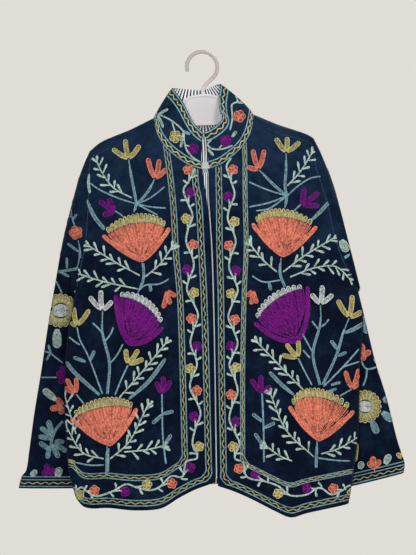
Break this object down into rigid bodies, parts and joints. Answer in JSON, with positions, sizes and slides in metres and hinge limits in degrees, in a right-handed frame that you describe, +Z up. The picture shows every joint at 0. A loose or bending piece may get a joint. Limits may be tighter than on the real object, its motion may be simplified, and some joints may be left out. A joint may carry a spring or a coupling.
{
  "type": "embroidered velvet jacket on hanger",
  "caption": "Open-fronted dark velvet jacket with stand collar, flared sleeves, striped lining and dense chain-stitch floral embroidery, hanging on a moulded plastic hanger.",
  "frame": {"origin": "under the top of the hanger's hook, where it rests on a rail or wall hook", "axes": "+Z up; the jacket faces -Y; +X is towards the wearer's left sleeve"},
  "size_m": [0.68, 0.1231, 0.8186],
  "materials": {
    "velvet": "dark blue velvet, short pile",
    "striped_lining": "plain cotton with narrow upright stripes",
    "clasp_metal": "satin white metal",
    "hanger_plastic": "pale pink moulded plastic, satin",
    "thread_coral": "coral embroidery thread",
    "thread_gold": "olive gold embroidery thread",
    "thread_purple": "purple embroidery thread",
    "thread_sage": "pale sage embroidery thread",
    "thread_teal": "grey teal embroidery thread",
    "thread_grey": "light grey embroidery thread"
  },
  "bodies": {
    "root": {"front_right": "velvet", "front_left": "velvet", "back": "velvet", "sleeve_right": "velvet", "sleeve_left": "velvet", "collar": "velvet", "back_lining": "striped_lining", "collar_lining": "striped_lining", "clasp_hook": "clasp_metal", "clasp_bar": "clasp_metal", "hanger": "hanger_plastic"}
  },
  "joints": []
}
